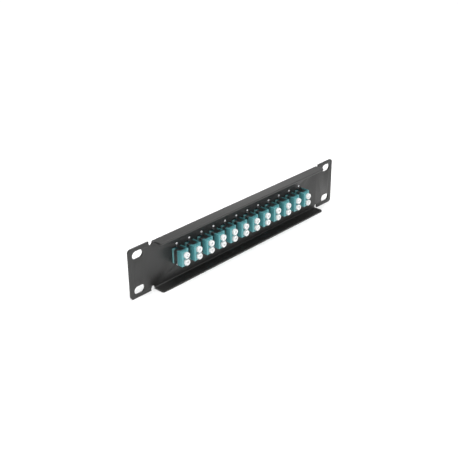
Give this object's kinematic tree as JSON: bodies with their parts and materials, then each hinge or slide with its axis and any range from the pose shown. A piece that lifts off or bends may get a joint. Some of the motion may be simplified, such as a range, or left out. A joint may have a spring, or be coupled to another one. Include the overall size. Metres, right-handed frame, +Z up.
{
  "type": "fibre patch panel",
  "caption": "Folded steel panel for a half-width rack with a row of upright duplex fibre adapters, each port closed by a white push-in dust cap.",
  "frame": {"origin": "centre of the rack slot pattern on the plate's face, on the side that the lips are on", "axes": "+X along the panel, +Y away from the lips towards the far ports, +Z up"},
  "size_m": [0.254, 0.0314, 0.044],
  "materials": {
    "powder_coat": "fine-textured powder coat, satin",
    "adapter_plastic": "moulded, slightly satin",
    "clip_steel": "stamped spring steel",
    "dust_cap_plastic": "soft moulded polyethylene",
    "sleeve_ceramic": "ground and polished",
    "plated_steel": "bright zinc plate"
  },
  "bodies": {
    "panel_assembly": {"panel": "powder_coat", "adapter_01": "adapter_plastic", "adapter_02": "adapter_plastic", "adapter_03": "adapter_plastic", "adapter_04": "adapter_plastic", "adapter_05": "adapter_plastic", "adapter_06": "adapter_plastic", "adapter_07": "adapter_plastic", "adapter_08": "adapter_plastic", "adapter_09": "adapter_plastic", "adapter_10": "adapter_plastic", "adapter_11": "adapter_plastic", "adapter_12": "adapter_plastic", "spring_clip_01": "clip_steel", "spring_clip_02": "clip_steel", "spring_clip_03": "clip_steel", "spring_clip_04": "clip_steel", "spring_clip_05": "clip_steel", "spring_clip_06": "clip_steel", "spring_clip_07": "clip_steel", "spring_clip_08": "clip_steel", "spring_clip_09": "clip_steel", "spring_clip_10": "clip_steel", "spring_clip_11": "clip_steel", "spring_clip_12": "clip_steel", "far_dust_caps": "dust_cap_plastic", "split_sleeves": "sleeve_ceramic", "adapter_screws": "plated_steel"},
    "dust_cap_upper_01": {"dust_cap_upper_01": "dust_cap_plastic"},
    "dust_cap_lower_01": {"dust_cap_lower_01": "dust_cap_plastic"},
    "dust_cap_upper_02": {"dust_cap_upper_02": "dust_cap_plastic"},
    "dust_cap_lower_02": {"dust_cap_lower_02": "dust_cap_plastic"},
    "dust_cap_upper_03": {"dust_cap_upper_03": "dust_cap_plastic"},
    "dust_cap_lower_03": {"dust_cap_lower_03": "dust_cap_plastic"},
    "dust_cap_upper_04": {"dust_cap_upper_04": "dust_cap_plastic"},
    "dust_cap_lower_04": {"dust_cap_lower_04": "dust_cap_plastic"},
    "dust_cap_upper_05": {"dust_cap_upper_05": "dust_cap_plastic"},
    "dust_cap_lower_05": {"dust_cap_lower_05": "dust_cap_plastic"},
    "dust_cap_upper_06": {"dust_cap_upper_06": "dust_cap_plastic"},
    "dust_cap_lower_06": {"dust_cap_lower_06": "dust_cap_plastic"},
    "dust_cap_upper_07": {"dust_cap_upper_07": "dust_cap_plastic"},
    "dust_cap_lower_07": {"dust_cap_lower_07": "dust_cap_plastic"},
    "dust_cap_upper_08": {"dust_cap_upper_08": "dust_cap_plastic"},
    "dust_cap_lower_08": {"dust_cap_lower_08": "dust_cap_plastic"},
    "dust_cap_upper_09": {"dust_cap_upper_09": "dust_cap_plastic"},
    "dust_cap_lower_09": {"dust_cap_lower_09": "dust_cap_plastic"},
    "dust_cap_upper_10": {"dust_cap_upper_10": "dust_cap_plastic"},
    "dust_cap_lower_10": {"dust_cap_lower_10": "dust_cap_plastic"},
    "dust_cap_upper_11": {"dust_cap_upper_11": "dust_cap_plastic"},
    "dust_cap_lower_11": {"dust_cap_lower_11": "dust_cap_plastic"},
    "dust_cap_upper_12": {"dust_cap_upper_12": "dust_cap_plastic"},
    "dust_cap_lower_12": {"dust_cap_lower_12": "dust_cap_plastic"}
  },
  "joints": [
    {"name": "dust_cap_upper_01_pull", "type": "slide", "parent": "panel_assembly", "child": "dust_cap_upper_01", "axis": [0, -1, 0], "range_m": [0, 0.0065]},
    {"name": "dust_cap_lower_01_pull", "type": "slide", "parent": "panel_assembly", "child": "dust_cap_lower_01", "axis": [0, -1, 0], "range_m": [0, 0.0065]},
    {"name": "dust_cap_upper_02_pull", "type": "slide", "parent": "panel_assembly", "child": "dust_cap_upper_02", "axis": [0, -1, 0], "range_m": [0, 0.0065]},
    {"name": "dust_cap_lower_02_pull", "type": "slide", "parent": "panel_assembly", "child": "dust_cap_lower_02", "axis": [0, -1, 0], "range_m": [0, 0.0065]},
    {"name": "dust_cap_upper_03_pull", "type": "slide", "parent": "panel_assembly", "child": "dust_cap_upper_03", "axis": [0, -1, 0], "range_m": [0, 0.0065]},
    {"name": "dust_cap_lower_03_pull", "type": "slide", "parent": "panel_assembly", "child": "dust_cap_lower_03", "axis": [0, -1, 0], "range_m": [0, 0.0065]},
    {"name": "dust_cap_upper_04_pull", "type": "slide", "parent": "panel_assembly", "child": "dust_cap_upper_04", "axis": [0, -1, 0], "range_m": [0, 0.0065]},
    {"name": "dust_cap_lower_04_pull", "type": "slide", "parent": "panel_assembly", "child": "dust_cap_lower_04", "axis": [0, -1, 0], "range_m": [0, 0.0065]},
    {"name": "dust_cap_upper_05_pull", "type": "slide", "parent": "panel_assembly", "child": "dust_cap_upper_05", "axis": [0, -1, 0], "range_m": [0, 0.0065]},
    {"name": "dust_cap_lower_05_pull", "type": "slide", "parent": "panel_assembly", "child": "dust_cap_lower_05", "axis": [0, -1, 0], "range_m": [0, 0.0065]},
    {"name": "dust_cap_upper_06_pull", "type": "slide", "parent": "panel_assembly", "child": "dust_cap_upper_06", "axis": [0, -1, 0], "range_m": [0, 0.0065]},
    {"name": "dust_cap_lower_06_pull", "type": "slide", "parent": "panel_assembly", "child": "dust_cap_lower_06", "axis": [0, -1, 0], "range_m": [0, 0.0065]},
    {"name": "dust_cap_upper_07_pull", "type": "slide", "parent": "panel_assembly", "child": "dust_cap_upper_07", "axis": [0, -1, 0], "range_m": [0, 0.0065]},
    {"name": "dust_cap_lower_07_pull", "type": "slide", "parent": "panel_assembly", "child": "dust_cap_lower_07", "axis": [0, -1, 0], "range_m": [0, 0.0065]},
    {"name": "dust_cap_upper_08_pull", "type": "slide", "parent": "panel_assembly", "child": "dust_cap_upper_08", "axis": [0, -1, 0], "range_m": [0, 0.0065]},
    {"name": "dust_cap_lower_08_pull", "type": "slide", "parent": "panel_assembly", "child": "dust_cap_lower_08", "axis": [0, -1, 0], "range_m": [0, 0.0065]},
    {"name": "dust_cap_upper_09_pull", "type": "slide", "parent": "panel_assembly", "child": "dust_cap_upper_09", "axis": [0, -1, 0], "range_m": [0, 0.0065]},
    {"name": "dust_cap_lower_09_pull", "type": "slide", "parent": "panel_assembly", "child": "dust_cap_lower_09", "axis": [0, -1, 0], "range_m": [0, 0.0065]},
    {"name": "dust_cap_upper_10_pull", "type": "slide", "parent": "panel_assembly", "child": "dust_cap_upper_10", "axis": [0, -1, 0], "range_m": [0, 0.0065]},
    {"name": "dust_cap_lower_10_pull", "type": "slide", "parent": "panel_assembly", "child": "dust_cap_lower_10", "axis": [0, -1, 0], "range_m": [0, 0.0065]},
    {"name": "dust_cap_upper_11_pull", "type": "slide", "parent": "panel_assembly", "child": "dust_cap_upper_11", "axis": [0, -1, 0], "range_m": [0, 0.0065]},
    {"name": "dust_cap_lower_11_pull", "type": "slide", "parent": "panel_assembly", "child": "dust_cap_lower_11", "axis": [0, -1, 0], "range_m": [0, 0.0065]},
    {"name": "dust_cap_upper_12_pull", "type": "slide", "parent": "panel_assembly", "child": "dust_cap_upper_12", "axis": [0, -1, 0], "range_m": [0, 0.0065]},
    {"name": "dust_cap_lower_12_pull", "type": "slide", "parent": "panel_assembly", "child": "dust_cap_lower_12", "axis": [0, -1, 0], "range_m": [0, 0.0065]}
  ]
}
